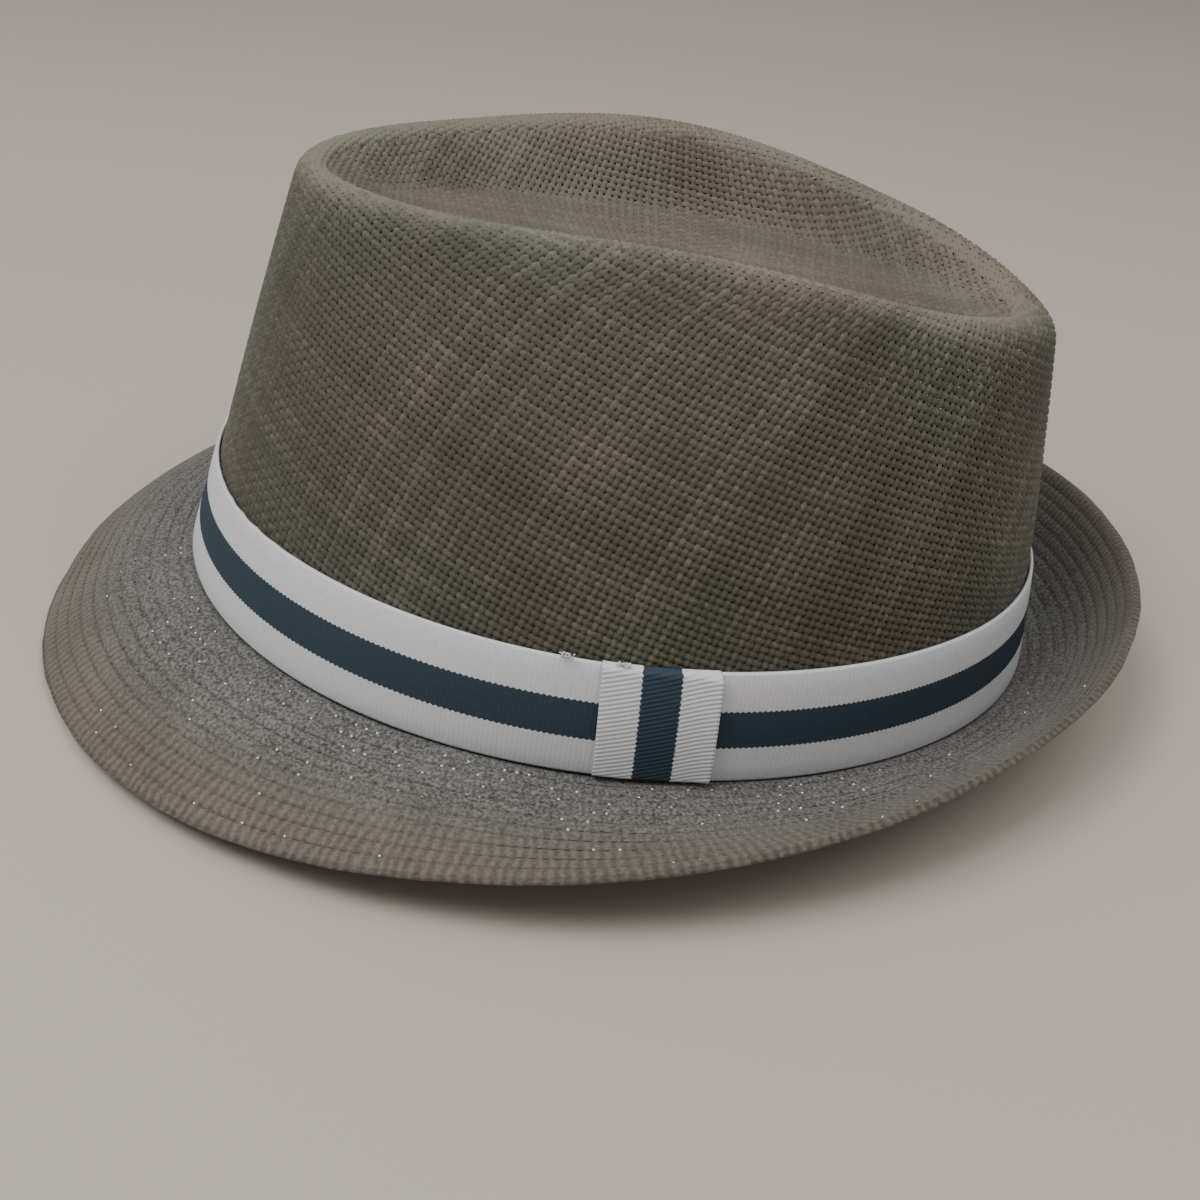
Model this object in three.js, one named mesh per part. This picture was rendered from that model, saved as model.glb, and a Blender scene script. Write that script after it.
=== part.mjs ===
// A short-brimmed trilby of woven paper straw with a striped ribbon, at rest on its brim.
// Millimetres, +Z up. The front is toward -Y and the wearer's left toward +X.
// The hat is shaped upright, with its head opening level, and is then tipped back to its resting pitch.
import * as THREE from 'three';

// Plan ovals, upright: the head opening over the outside of the crown, and the lip round the crown's top
const HEAD = { length: 197, width: 167, shift: 0, backFullness: -0.05 };
const LIP = { length: 156, width: 102, shift: 1, backFullness: 0.11 };

// Thicknesses, and the clearance between pieces that are sewn together
const CLOTH = 1.2;
const BRIM_CLOTH = 1.6;
const RIBBON = 0.8;
const SEAM_GAP = 0.3;

// The brim turns at this share of its reach, and its edge bulges out by this share of its thickness
const BRIM_TURN = 0.55;
const EDGE_BULGE = 0.3;

// Ribbon: the band's width up the wall, and how far it starts above the wall's foot. The tab is a little
// longer than the band is wide, and leans: its top is set toward the front and its foot toward the back.
const RIBBON_WIDTH = 25;
const RIBBON_START = 0.4;
const TAB_WIDTH = 22.5;
const TAB_OVERHANG = 0.3;
const TAB_TURN = THREE.MathUtils.degToRad(88);
const TAB_LEAN = 1.3;

// Dished top: the run of its steep inner face, the floor's height at the middle, its fall toward the back,
// and how much deeper it is at the middle than at its rim
const FACE_RUN = 13;
const FLOOR_HEIGHT = 79;
const FLOOR_FALL = 0.045;
const FLOOR_DISH = 1;

// The seam of the tip lies this far past the top of the lip, on its inner side
const SEAM_TURN = THREE.MathUtils.degToRad(50);

// The resting pitch is sought between level and this, and found to this step, in radians
const STEEPEST_PITCH = 0.3;
const PITCH_STEP = 1e-9;

// One row for each eighth of a turn, from the back (0) round to the front (180). The two sides match.
// ridge: height of the lip. lean and shoulder: inward slope of the wall at its foot and under the lip.
// lip: radius of the rounded lip. reach and rise: the brim's edge, out from the crown and up.
// foot: slope at which the brim leaves the crown.
const SECTIONS = [
  { turn: 0, ridge: 80.5, lean: 0.19, shoulder: 0.18, lip: 6.5, reach: 18.7, rise: 26.2, foot: 0.12 },
  { turn: 45, ridge: 86.5, lean: 0.04, shoulder: 0.4, lip: 6, reach: 24.1, rise: 21, foot: 0.1 },
  { turn: 90, ridge: 94.5, lean: -0.08, shoulder: 0.72, lip: 6, reach: 33.5, rise: 5.6, foot: 0.03 },
  { turn: 135, ridge: 90.5, lean: 0.02, shoulder: 0.59, lip: 5, reach: 34.5, rise: -14, foot: -0.1 },
  { turn: 180, ridge: 88.5, lean: 0.24, shoulder: 0.21, lip: 4, reach: 32, rise: -20.4, foot: -0.2 },
];

// Steps of the meshes
const COLUMNS = 72;
const RIBBON_ROWS = 3;
const WALL_ROWS = 7;
const LIP_ROWS = 5;
const FACE_ROWS = 4;
const FLOOR_ROWS = 3;
const BRIM_ROWS = 7;
const TAB_COLUMNS = 4;

const UP = new THREE.Vector3(0, 0, 1);
const STRAW = new THREE.MeshStandardMaterial({ color: '#7d7265', roughness: 0.85, metalness: 0 });
const BRIM_STRAW = new THREE.MeshStandardMaterial({ color: '#867a70', roughness: 0.85, metalness: 0 });
const GROSGRAIN = new THREE.MeshStandardMaterial({ color: '#b9b4b0', roughness: 0.7, metalness: 0 });

// Smooth values between the rows of the table, level at the back and at the front.
const columnNames = Object.keys(SECTIONS[0]).slice(1);
const rowAngles = SECTIONS.map((row) => THREE.MathUtils.degToRad(row.turn));
const rowValues = SECTIONS.flatMap((row) => columnNames.map((name) => row[name]));
const smoothRows = new THREE.CubicInterpolant(rowAngles, rowValues, columnNames.length);
smoothRows.settings = { endingStart: THREE.ZeroSlopeEnding, endingEnd: THREE.ZeroSlopeEnding };

function sectionAt(angle) {
  const fromBack = Math.abs(Math.atan2(Math.sin(angle), Math.cos(angle)));
  const values = smoothRows.evaluate(fromBack);
  return Object.fromEntries(columnNames.map((name, i) => [name, values[i]]));
}

// A point of a plan oval. The angle is 0 at the back and grows toward the wearer's left.
function ovalPoint(oval, angle) {
  const fullness = 1 + oval.backFullness * Math.cos(angle);
  const x = (oval.width / 2) * Math.sin(angle) * fullness;
  const y = oval.shift + (oval.length / 2) * Math.cos(angle);
  return new THREE.Vector3(x, y, 0);
}

function ovalOutward(oval, angle) {
  const step = 0.01;
  const along = ovalPoint(oval, angle + step).sub(ovalPoint(oval, angle - step));
  return new THREE.Vector3(-along.y, along.x, 0).normalize();
}

// The wall's line from its foot to where the lip begins, at one angle.
function wallCurve(angle) {
  const section = sectionAt(angle);
  const outFoot = ovalOutward(HEAD, angle);
  const foot = ovalPoint(HEAD, angle).setZ(SEAM_GAP);
  const begin = lipPoint(angle, lipStart(section));
  const third = foot.distanceTo(begin) / 3;
  const footDirection = UP.clone().addScaledVector(outFoot, -section.lean).normalize();
  const endDirection = UP.clone().addScaledVector(ovalOutward(LIP, angle), -section.shoulder).normalize();
  const footControl = foot.clone().addScaledVector(footDirection, third);
  const endControl = begin.clone().addScaledVector(endDirection, -third);
  return new THREE.CubicBezierCurve3(foot, footControl, endControl, begin);
}

// The lip is an arc: tilt is 0 at its top and positive on the outer side.
function lipStart(section) {
  return Math.PI / 2 - Math.atan(section.shoulder);
}

function lipPoint(angle, tilt) {
  const section = sectionAt(angle);
  const point = ovalPoint(LIP, angle).setZ(section.ridge - section.lip);
  point.addScaledVector(ovalOutward(LIP, angle), section.lip * Math.sin(tilt));
  return point.addScaledVector(UP, section.lip * Math.cos(tilt));
}

// The wall at a distance up its line from the foot.
function wallPoint(angle, distance) {
  const curve = wallCurve(angle);
  return curve.getPointAt(distance / curve.getLength());
}

// The line of the dished top from its seam to the middle: a steep inner face, then a shallow floor.
function tipLine(angle) {
  const section = sectionAt(angle);
  const inward = ovalOutward(LIP, angle).negate();
  const seamTilt = -SEAM_TURN - SEAM_GAP / section.lip;
  const seam = lipPoint(angle, seamTilt);
  const faceFoot = seam.clone().addScaledVector(inward, FACE_RUN);
  faceFoot.z = floorHeight(faceFoot);
  const third = FACE_RUN / 3;
  const seamSlope = Math.tan(seamTilt);
  const seamControl = seam.clone().addScaledVector(inward, third).addScaledVector(UP, third * seamSlope);
  const footControl = faceFoot.clone().addScaledVector(inward, -third);
  const face = new THREE.CubicBezierCurve3(seam, seamControl, footControl, faceFoot);
  const line = face.getPoints(FACE_ROWS);
  const middle = new THREE.Vector3(0, LIP.shift, 0);
  for (let row = 1; row < FLOOR_ROWS; row += 1) {
    const point = faceFoot.clone().lerp(middle, row / FLOOR_ROWS);
    line.push(point.setZ(floorHeight(point)));
  }
  return line;
}

function floorHeight(point) {
  const fromMiddle = Math.hypot(point.x / (LIP.width / 2), (point.y - LIP.shift) / (LIP.length / 2));
  return FLOOR_HEIGHT - FLOOR_FALL * point.y - FLOOR_DISH * (1 - fromMiddle ** 2);
}

// The brim's upper line from its edge in to the crown's inner face, at one angle.
function brimLine(angle) {
  const section = sectionAt(angle);
  const outward = ovalOutward(HEAD, angle);
  const at = (out, up) => ovalPoint(HEAD, angle).addScaledVector(outward, out).setZ(up);
  const turn = section.reach * BRIM_TURN;
  const curve = new THREE.QuadraticBezierCurve3(
    at(section.reach, section.rise),
    at(turn, turn * section.foot),
    at(0, 0),
  );
  return [...curve.getPoints(BRIM_ROWS), at(-CLOTH, 0)];
}

// Turns a line that depends on the angle into rings, one for each of its points.
function ringsRound(lineAt) {
  const lines = Array.from({ length: COLUMNS }, (_, i) => lineAt((2 * Math.PI * i) / COLUMNS));
  return lines[0].map((_, row) => lines.map((line) => line[row]));
}

// Moves each point of a sheet of rings along the sheet's normal.
function offsetRings(rings, distance) {
  return rings.map((ring, row) => ring.map((point, i) => {
    const along = slopeAlong(rings.map((other) => other[i]), row);
    const around = ring[(i + 1) % ring.length].clone().sub(ring.at(i - 1));
    return point.clone().addScaledVector(along.cross(around).normalize(), distance);
  }));
}

// The direction of a line of points at one of them. At an end it allows for the line's bend.
function slopeAlong(line, row) {
  const last = line.length - 1;
  if (row > 0 && row < last) return line[row + 1].clone().sub(line[row - 1]);
  const inward = row === 0 ? 1 : -1;
  const slope = line[row].clone().multiplyScalar(-3);
  slope.addScaledVector(line[row + inward], 4).sub(line[row + 2 * inward]);
  return slope.multiplyScalar(inward);
}

// A closed skin over a list of rings. A ring of one point is a pole, and without poles the last ring
// joins back to the first.
function skinOver(rings) {
  const starts = [];
  const positions = [];
  rings.forEach((ring) => {
    starts.push(positions.length / 3);
    ring.forEach((point) => positions.push(point.x, point.y, point.z));
  });
  const hasPoles = rings[0].length === 1;
  const bands = hasPoles ? rings.length - 1 : rings.length;
  const index = [];
  for (let row = 0; row < bands; row += 1) {
    const next = (row + 1) % rings.length;
    const corner = (r, i) => starts[r] + (i % rings[r].length);
    const columns = Math.max(rings[row].length, rings[next].length);
    for (let i = 0; i < columns; i += 1) {
      if (rings[row].length > 1) {
        index.push(corner(row, i), corner(row, i + 1), corner(next, i));
      }
      if (rings[next].length > 1) {
        index.push(corner(next, i), corner(row, i + 1), corner(next, i + 1));
      }
    }
  }
  const geometry = new THREE.BufferGeometry();
  geometry.setAttribute('position', new THREE.Float32BufferAttribute(positions, 3));
  geometry.setIndex(volumeOf(positions, index) < 0 ? index.reverse() : index);
  geometry.computeVertexNormals();
  return geometry;
}

function volumeOf(positions, index) {
  const corner = (i) => new THREE.Vector3().fromArray(positions, 3 * index[i]);
  let volume = 0;
  for (let i = 0; i < index.length; i += 3) {
    volume += corner(i).dot(corner(i + 1).cross(corner(i + 2))) / 6;
  }
  return volume;
}

// The rows of the wall: those under the ribbon, then even steps up to the lip.
function wallDistances(length) {
  const ribbonEnd = RIBBON_START + RIBBON_WIDTH;
  const distances = [0];
  for (let row = 0; row <= RIBBON_ROWS; row += 1) {
    distances.push(RIBBON_START + (RIBBON_WIDTH * row) / RIBBON_ROWS);
  }
  for (let row = 1; row <= WALL_ROWS; row += 1) {
    distances.push(ribbonEnd + ((length - ribbonEnd) * row) / WALL_ROWS);
  }
  return distances;
}

function crownSideLine(angle) {
  const curve = wallCurve(angle);
  const length = curve.getLength();
  const line = wallDistances(length).map((distance) => curve.getPointAt(Math.min(distance / length, 1)));
  const start = lipStart(sectionAt(angle));
  for (let row = 1; row <= LIP_ROWS; row += 1) {
    line.push(lipPoint(angle, start + ((-SEAM_TURN - start) * row) / LIP_ROWS));
  }
  return line;
}

function crownSide() {
  const outer = ringsRound(crownSideLine);
  const inner = offsetRings(outer, -CLOTH);
  return skinOver([...outer, ...inner.reverse()]);
}

function crownTip() {
  const upper = ringsRound(tipLine);
  const lower = offsetRings(upper, -CLOTH);
  const middle = new THREE.Vector3(0, LIP.shift, 0);
  middle.z = floorHeight(middle);
  const under = middle.clone().addScaledVector(UP, -CLOTH);
  return skinOver([[under], ...lower.reverse(), ...upper, [middle]]);
}

function brim() {
  const upper = ringsRound(brimLine);
  const lower = offsetRings(upper, -BRIM_CLOTH);
  const halfway = offsetRings(upper, -BRIM_CLOTH / 2)[0];
  const edge = halfway.map((point, i) => {
    const outward = ovalOutward(HEAD, (2 * Math.PI * i) / COLUMNS);
    return point.addScaledVector(outward, BRIM_CLOTH * EDGE_BULGE);
  });
  return skinOver([edge, ...upper, ...lower.reverse()]);
}

function ribbonBand() {
  const distances = wallDistances(wallCurve(0).getLength()).slice(1, RIBBON_ROWS + 2);
  const wall = ringsRound((angle) => distances.map((distance) => wallPoint(angle, distance)));
  const inner = offsetRings(wall, SEAM_GAP);
  const outer = offsetRings(wall, SEAM_GAP + RIBBON);
  return skinOver([...outer, ...inner.reverse()]);
}

// Each ring runs round the tab's thickness at one column: up the outer side and down the inner side.
function ribbonTab() {
  const bottom = RIBBON_START - TAB_OVERHANG;
  const length = RIBBON_WIDTH + 2 * TAB_OVERHANG;
  const under = 2 * SEAM_GAP + RIBBON;
  const parts = Array.from({ length: RIBBON_ROWS + 1 }, (_, row) => row / RIBBON_ROWS);
  const rings = Array.from({ length: TAB_COLUMNS + 1 }, (_, column) => {
    const across = TAB_WIDTH * (column / TAB_COLUMNS - 0.5);
    const at = (part, out) => {
      const angle = TAB_TURN + (2 * (across + TAB_LEAN * (part - 0.5))) / HEAD.length;
      return wallPoint(angle, bottom + length * part).addScaledVector(ovalOutward(HEAD, angle), out);
    };
    const outer = parts.map((part) => at(part, under + RIBBON));
    const inner = parts.map((part) => at(part, under));
    return [...outer, ...inner.reverse()];
  });
  const poles = [rings[0], rings.at(-1)].map((ring) => [centreOf(ring)]);
  return skinOver([poles[0], ...rings, poles[1]]);
}

function centreOf(ring) {
  const sum = ring.reduce((total, point) => total.add(point), new THREE.Vector3());
  return sum.divideScalar(ring.length);
}

// The pitch at which the brim's front edge and the fold behind the head touch one level surface.
function restingPitch(geometry) {
  const points = geometry.getAttribute('position');
  let low = 0;
  let high = STEEPEST_PITCH;
  while (high - low > PITCH_STEP) {
    const pitch = (low + high) / 2;
    const lowest = { front: Infinity, back: Infinity };
    for (let i = 0; i < points.count; i += 1) {
      const height = points.getZ(i) * Math.cos(pitch) - points.getY(i) * Math.sin(pitch);
      const half = points.getY(i) < 0 ? 'front' : 'back';
      lowest[half] = Math.min(lowest[half], height);
    }
    if (lowest.front < lowest.back) {
      low = pitch;
    } else {
      high = pitch;
    }
  }
  return (low + high) / 2;
}

function namedMesh(name, geometry, material) {
  const mesh = new THREE.Mesh(geometry, material);
  mesh.name = name;
  return mesh;
}

const upright = new THREE.Group();
const brimGeometry = brim();
upright.add(namedMesh('crown_side', crownSide(), STRAW));
upright.add(namedMesh('crown_tip', crownTip(), STRAW));
upright.add(namedMesh('brim', brimGeometry, BRIM_STRAW));
upright.add(namedMesh('ribbon_band', ribbonBand(), GROSGRAIN));
upright.add(namedMesh('ribbon_tab', ribbonTab(), GROSGRAIN));
upright.rotation.x = -restingPitch(brimGeometry);

// The origin is under the middle of the hat, on the surface that it rests on.
const hat = new THREE.Group();
hat.add(upright);
const box = new THREE.Box3().setFromObject(hat, true);
const middle = box.getCenter(new THREE.Vector3());
upright.position.set(-middle.x, -middle.y, -box.min.z);

export default hat;
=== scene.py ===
# %% [markdown]
# # A woven straw trilby
# This lesson dresses a plain model of a short-brimmed hat so that it looks like the real thing: a crown of
# open-weave paper straw, a brim closed up by rows of stitching, and a striped, ribbed ribbon with a tab.
# The plain model gives every place and size. Each piece made here stands for one of its parts and sits
# exactly where that part sits.

# %% Load the plain model
import math

import bpy
import numpy as np
from mathutils import Matrix, Vector


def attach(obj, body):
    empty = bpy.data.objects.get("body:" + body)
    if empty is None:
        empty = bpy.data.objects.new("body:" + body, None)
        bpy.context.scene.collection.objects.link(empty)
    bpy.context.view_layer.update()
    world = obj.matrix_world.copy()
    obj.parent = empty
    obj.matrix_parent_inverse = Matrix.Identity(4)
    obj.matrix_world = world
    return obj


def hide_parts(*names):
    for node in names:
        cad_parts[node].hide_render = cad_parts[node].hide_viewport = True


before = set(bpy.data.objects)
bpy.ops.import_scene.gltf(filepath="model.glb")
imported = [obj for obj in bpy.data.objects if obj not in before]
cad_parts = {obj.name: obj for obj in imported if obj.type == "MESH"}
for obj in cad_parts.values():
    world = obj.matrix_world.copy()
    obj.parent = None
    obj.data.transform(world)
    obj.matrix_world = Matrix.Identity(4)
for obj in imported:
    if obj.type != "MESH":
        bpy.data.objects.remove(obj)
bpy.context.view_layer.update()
print("plain parts:", sorted(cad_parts))

# %% [markdown]
# ## Sizes
# The hat is described upright, in millimetres, with its head opening level: x to the wearer's left, y to
# the back, z up. Two ovals give its plan, one round the head and one round the crown's top. A short table
# gives the side view at five places from the back round to the front. The plain model was made from the
# same values, except that its tab leans a little less and its cloths don't overlap at the top's seam, so a
# surface rebuilt from them lies on it without any fitting.

# %% Sizes of the hat
HEAD_OVAL = {"length": 197, "width": 167, "shift": 0, "back_fullness": -0.05}
LIP_OVAL = {"length": 156, "width": 102, "shift": 1, "back_fullness": 0.11}
WALL_CLOTH = 1.2
BRIM_CLOTH = 1.6
RIBBON_CLOTH = 0.8
SEAM_GAP = 0.3
RIBBON_WIDTH = 25
RIBBON_START = 0.4
TAB_WIDTH = 22.5
TAB_TURN = math.radians(88)
TAB_LEAN = 1.7
FACE_RUN = 13
FLOOR_HEIGHT = 79
FLOOR_FALL = 0.045
FLOOR_DISH = 1
SEAM_TURN = math.radians(50)
SEAM_OVERLAP = 0.6
BRIM_TURN = 0.55

SECTION_COLUMNS = ("turn", "ridge", "lean", "shoulder", "lip", "reach", "rise", "foot")
SECTION_ROWS = (
    (0, 80.5, 0.19, 0.18, 6.5, 18.7, 26.2, 0.12),
    (45, 86.5, 0.04, 0.4, 6, 24.1, 21, 0.1),
    (90, 94.5, -0.08, 0.72, 6, 33.5, 5.6, 0.03),
    (135, 90.5, 0.02, 0.59, 5, 34.5, -14, -0.1),
    (180, 88.5, 0.24, 0.21, 4, 32, -20.4, -0.2),
)

# The hat rests tipped back by this much, and is then moved so that it stands on the floor.
RESTING_PITCH = math.radians(-4.9786)
RESTING_SHIFT = (0, 5.640, 10.138)
UP = np.array([0, 0, 1.0])


# %% [markdown]
# ## Surfaces from the sizes
# Every surface is a family of lines, one for each angle round the hat, where 0 is the back and half a turn
# is the front. Whole arrays of angles are worked out at once, which keeps thousands of strands quick.

# %% Smooth values between the rows of the table
def section_at(angle):
    folded = np.abs(np.arctan2(np.sin(angle), np.cos(angle)))
    step = math.radians(SECTION_ROWS[1][0] - SECTION_ROWS[0][0])
    last = len(SECTION_ROWS) - 2
    row = np.clip((folded // step).astype(int), 0, last)
    part = (folded / step - row)[..., None]
    values = np.array(SECTION_ROWS)[:, 1:]
    before = values[np.where(row == 0, 1, row - 1)]
    after = values[np.minimum(row + 2, last + 1)]
    start, end = values[row], values[row + 1]
    slope_in = (end - before) / 2
    slope_out = (after - start) / 2
    rise = end - start
    bend = 3 * rise - 2 * slope_in - slope_out
    twist = slope_in + slope_out - 2 * rise
    smooth = start + slope_in * part + bend * part ** 2 + twist * part ** 3
    return dict(zip(SECTION_COLUMNS[1:], np.moveaxis(smooth, -1, 0)))


# %% Ovals and directions
def unit(vectors):
    return vectors / np.maximum(np.linalg.norm(vectors, axis=-1, keepdims=True), 1e-9)


def oval_point(oval, angle):
    fullness = 1 + oval["back_fullness"] * np.cos(angle)
    across = oval["width"] / 2 * np.sin(angle) * fullness
    along = oval["shift"] + oval["length"] / 2 * np.cos(angle)
    return np.stack([across, along, 0 * angle], -1)


def oval_outward(oval, angle, step=0.01):
    along = oval_point(oval, angle + step) - oval_point(oval, angle - step)
    return unit(np.stack([-along[..., 1], along[..., 0], 0 * angle], -1))


def bezier(points, steps):
    parts = np.linspace(0, 1, steps + 1)[:, None]
    lines = [np.asarray(point)[..., None, :] for point in points]
    while len(lines) > 1:
        lines = [a * (1 - parts) + b * parts for a, b in zip(lines, lines[1:])]
    return lines[0]


# %% The crown's side, from its foot over the rounded lip to the seam of the top
def lip_point(angle, tilt):
    section = section_at(angle)
    sideways = (section["lip"] * np.sin(tilt))[..., None]
    point = oval_point(LIP_OVAL, angle) + oval_outward(LIP_OVAL, angle) * sideways
    point[..., 2] = section["ridge"] - section["lip"] * (1 - np.cos(tilt))
    return point


def side_lines(angle, wall_steps=120, lip_steps=40):
    section = section_at(angle)
    foot = oval_point(HEAD_OVAL, angle)
    foot[..., 2] = SEAM_GAP
    lip_start = np.pi / 2 - np.arctan(section["shoulder"])
    begin = lip_point(angle, lip_start)
    third = np.linalg.norm(begin - foot, axis=-1, keepdims=True) / 3
    rise = unit(UP - oval_outward(HEAD_OVAL, angle) * section["lean"][..., None])
    arrive = unit(UP - oval_outward(LIP_OVAL, angle) * section["shoulder"][..., None])
    wall = bezier([foot, foot + rise * third, begin - arrive * third, begin], wall_steps)
    parts = np.linspace(0, 1, lip_steps + 1)[1:]
    lip_end = -SEAM_TURN - SEAM_OVERLAP / section["lip"]
    lip = [lip_point(angle, lip_start + (lip_end - lip_start) * part) for part in parts]
    return np.concatenate([wall, np.stack(lip, -2)], -2)


# %% The dished top, from its middle out to the seam
def floor_height(point):
    across = point[..., 0] / (LIP_OVAL["width"] / 2)
    along = (point[..., 1] - LIP_OVAL["shift"]) / (LIP_OVAL["length"] / 2)
    return FLOOR_HEIGHT - FLOOR_FALL * point[..., 1] - FLOOR_DISH * (1 - across ** 2 - along ** 2)


def top_lines(angle, floor_steps=60, face_steps=60):
    inward = -oval_outward(LIP_OVAL, angle)
    tilt = -SEAM_TURN + SEAM_OVERLAP / section_at(angle)["lip"]
    seam = lip_point(angle, tilt)
    foot = seam + inward * FACE_RUN
    foot[..., 2] = floor_height(foot)
    third = FACE_RUN / 3
    leave = seam + inward * third + UP * (third * np.tan(tilt))[..., None]
    face = bezier([foot, foot - inward * third, leave, seam], face_steps)
    middle = np.array([0, LIP_OVAL["shift"], 0.0])
    parts = np.linspace(0, 1, floor_steps + 1)[:-1, None]
    floor = middle * (1 - parts) + foot[..., None, :] * parts
    floor[..., 2] = floor_height(floor)
    return np.concatenate([floor, face], -2)


# %% The brim's upper side, from its edge in to the crown
def brim_lines(angle, steps=100):
    section = section_at(angle)

    def at(out, up):
        point = oval_point(HEAD_OVAL, angle) + oval_outward(HEAD_OVAL, angle) * out[..., None]
        point[..., 2] = up
        return point

    turn = section["reach"] * BRIM_TURN
    edge = at(section["reach"], section["rise"])
    return bezier([edge, at(turn, turn * section["foot"]), at(0 * turn, 0 * turn)], steps)


# %% From upright millimetres to the resting hat in metres
def at_rest(points):
    turned_y = points[..., 1] * math.cos(RESTING_PITCH) - points[..., 2] * math.sin(RESTING_PITCH)
    turned_z = points[..., 1] * math.sin(RESTING_PITCH) + points[..., 2] * math.cos(RESTING_PITCH)
    turned = np.stack([points[..., 0], turned_y, turned_z], -1)
    return (turned + np.array(RESTING_SHIFT)) / 1000


# %% [markdown]
# A surface is kept as a sheet: a grid of points and outward directions whose columns are angles and whose
# rows are real distances along each line. A place in the cloth, given in millimetres, is then found by
# reading between the grid's points.

# %% Sheets of points that are read by distance
# Keeps a reading just inside a grid's last column or row, so that it has a neighbour on both sides.
PAST_LAST = 1.001


def lengths_along(lines):
    steps = np.linalg.norm(np.diff(lines, axis=1), axis=-1)
    return np.concatenate([np.zeros((len(lines), 1)), np.cumsum(steps, 1)], 1)


def make_sheet(lines_at, angles, lines_run_outward, row_step=1.0):
    lines = lines_at(angles)
    lengths = lengths_along(lines)
    along = np.gradient(lines, axis=1)
    around = np.gradient(lines, angles, axis=0)
    normals = unit(np.cross(around, along)) * (1 if lines_run_outward else -1)
    normals[:, 0] = normals[:, 1]
    rows = np.arange(0, lengths.max() + row_step, row_step)
    points = np.empty((len(angles), len(rows), 6))
    for column, (line, normal, length) in enumerate(zip(lines, normals, lengths)):
        for axis in range(3):
            points[column, :, axis] = np.interp(rows, length, line[:, axis])
            points[column, :, 3 + axis] = np.interp(rows, length, normal[:, axis])
    return {"angles": angles, "row_step": row_step, "points": points, "ends": lengths[:, -1]}


def read_sheet(sheet, angle, distance):
    points = sheet["points"]
    first, step = sheet["angles"][0], sheet["angles"][1] - sheet["angles"][0]
    column = np.clip((angle - first) / step, 0, points.shape[0] - PAST_LAST)
    row = np.clip(distance / sheet["row_step"], 0, points.shape[1] - PAST_LAST)
    left, under = column.astype(int), row.astype(int)
    across, up = (column - left)[..., None], (row - under)[..., None]
    low = points[left, under] * (1 - across) + points[left + 1, under] * across
    high = points[left, under + 1] * (1 - across) + points[left + 1, under + 1] * across
    both = low * (1 - up) + high * up
    return both[..., :3], unit(both[..., 3:])


half_turn = np.linspace(0, math.pi, 361)
full_turn = np.linspace(0, 2 * math.pi, 721)
side_sheet = make_sheet(side_lines, half_turn, lines_run_outward=False)
top_sheet = make_sheet(top_lines, full_turn, lines_run_outward=True)
lowest, highest = round(side_sheet["ends"].min()), round(side_sheet["ends"].max())
print("crown's side is", lowest, "to", highest, "mm up to its seam")

# %% [markdown]
# ## Camera, floor and light
# The hat is seen from its wearer's left, a little from the front and from about thirty degrees above, from
# a third of a metre away, which is why the near side looks large. The light is soft and comes from the
# wearer's left: a strong lamp above the front, a larger and weaker one above the back, and a pale sky all
# round. The floor is plain, matt and pale, so that it takes a soft shadow and sends light up under the brim.

# %% Camera
CAMERA_TURN = math.radians(83.75)
CAMERA_HEIGHT = math.radians(30.547)
CAMERA_ROLL = math.radians(10.15)
CAMERA_DISTANCE = 355.545
CAMERA_TARGET = np.array([11.364, -3.354, -3.631])
CAMERA_LENS = 45

level = math.cos(CAMERA_HEIGHT)
backward = np.array([
    math.sin(CAMERA_TURN) * level,
    -math.cos(CAMERA_TURN) * level,
    math.sin(CAMERA_HEIGHT),
])
sideways = unit(np.cross(-backward, UP))
upward = np.cross(sideways, -backward)
rolled_right = sideways * math.cos(CAMERA_ROLL) + upward * math.sin(CAMERA_ROLL)
rolled_up = upward * math.cos(CAMERA_ROLL) - sideways * math.sin(CAMERA_ROLL)
place = at_rest(CAMERA_TARGET + CAMERA_DISTANCE * backward)
axes = [unit(at_rest(axis) - at_rest(0 * axis)) for axis in (rolled_right, rolled_up, backward)]
camera = bpy.data.objects.new("camera", bpy.data.cameras.new("camera"))
camera.matrix_world = Matrix.Translation(Vector(place)) @ Matrix(np.array(axes).T.tolist()).to_4x4()
camera.data.lens = CAMERA_LENS
camera.data.clip_start = 0.01
bpy.context.scene.collection.objects.link(camera)
bpy.context.scene.camera = camera
print("camera at", [round(value, 3) for value in place])


# %% Colours and nodes
def linear(hex_colour):
    """An sRGB hex colour as the linear red, green, blue and alpha that shaders use."""
    channels = [int(hex_colour[i:i + 2], 16) / 255 for i in (1, 3, 5)]
    return [c / 12.92 if c <= 0.04045 else ((c + 0.055) / 1.055) ** 2.4 for c in channels] + [1]


def add_node(tree, kind, settings=None, inputs=None):
    """Adds a node, sets its properties, and fills its inputs with values or with other nodes' outputs."""
    node = tree.nodes.new(kind)
    for name, value in (settings or {}).items():
        setattr(node, name, value)
    for key, value in (inputs or {}).items():
        if isinstance(value, bpy.types.NodeSocket):
            tree.links.new(value, node.inputs[key])
        else:
            node.inputs[key].default_value = value
    return node


def new_material(name, roughness):
    """A material whose surface shader is ready to be fed. Returns it, its tree and its shader."""
    material = bpy.data.materials.new(name)
    material.use_nodes = True
    shader = material.node_tree.nodes["Principled BSDF"]
    shader.inputs["Roughness"].default_value = roughness
    return material, material.node_tree, shader


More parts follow.
